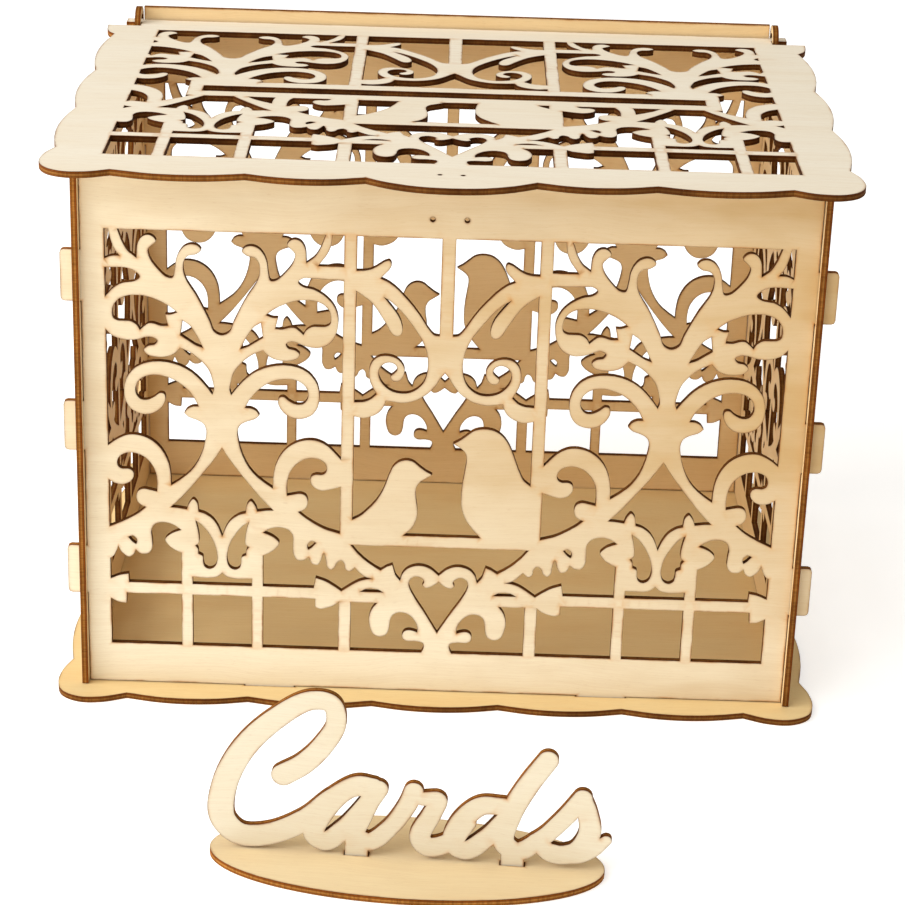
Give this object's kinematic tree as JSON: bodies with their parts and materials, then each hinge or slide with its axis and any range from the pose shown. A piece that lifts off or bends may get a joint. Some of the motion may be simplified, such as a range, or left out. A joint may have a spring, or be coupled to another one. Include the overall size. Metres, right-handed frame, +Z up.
{
  "type": "card box",
  "caption": "Flat-pack plywood card box with pierced tree-and-bird walls, a hinged pierced lid with a letter slot, and a separate script word sign standing on an oval foot.",
  "frame": {"origin": "centre of the box base's underside, on the table", "axes": "+X to the right seen from the front, +Y to the back, +Z up"},
  "size_m": [0.3032, 0.3798, 0.2264],
  "materials": {
    "base_plate": "raw laser-cut plywood",
    "front_wall": "raw laser-cut plywood",
    "back_wall": "raw laser-cut plywood",
    "left_wall": "raw laser-cut plywood",
    "right_wall": "raw laser-cut plywood",
    "lid": "raw laser-cut plywood",
    "sign_foot": "raw laser-cut plywood",
    "sign_word": "raw laser-cut plywood"
  },
  "bodies": {
    "box": {"base_plate": "base_plate", "front_wall": "front_wall", "back_wall": "back_wall", "left_wall": "left_wall", "right_wall": "right_wall"},
    "lid": {"lid": "lid"},
    "sign": {"sign_foot": "sign_foot", "sign_word": "sign_word"}
  },
  "joints": [
    {"name": "lid_hinge", "type": "hinge", "parent": "box", "child": "lid", "pos_m": [0, 0.1006, 0.21905], "axis": [-1, 0, 0], "range_deg": [0, 100]},
    {"name": "sign_lift", "type": "slide", "parent": "box", "child": "sign", "axis": [0, 0, 1], "range_m": [0, 0.12]}
  ]
}
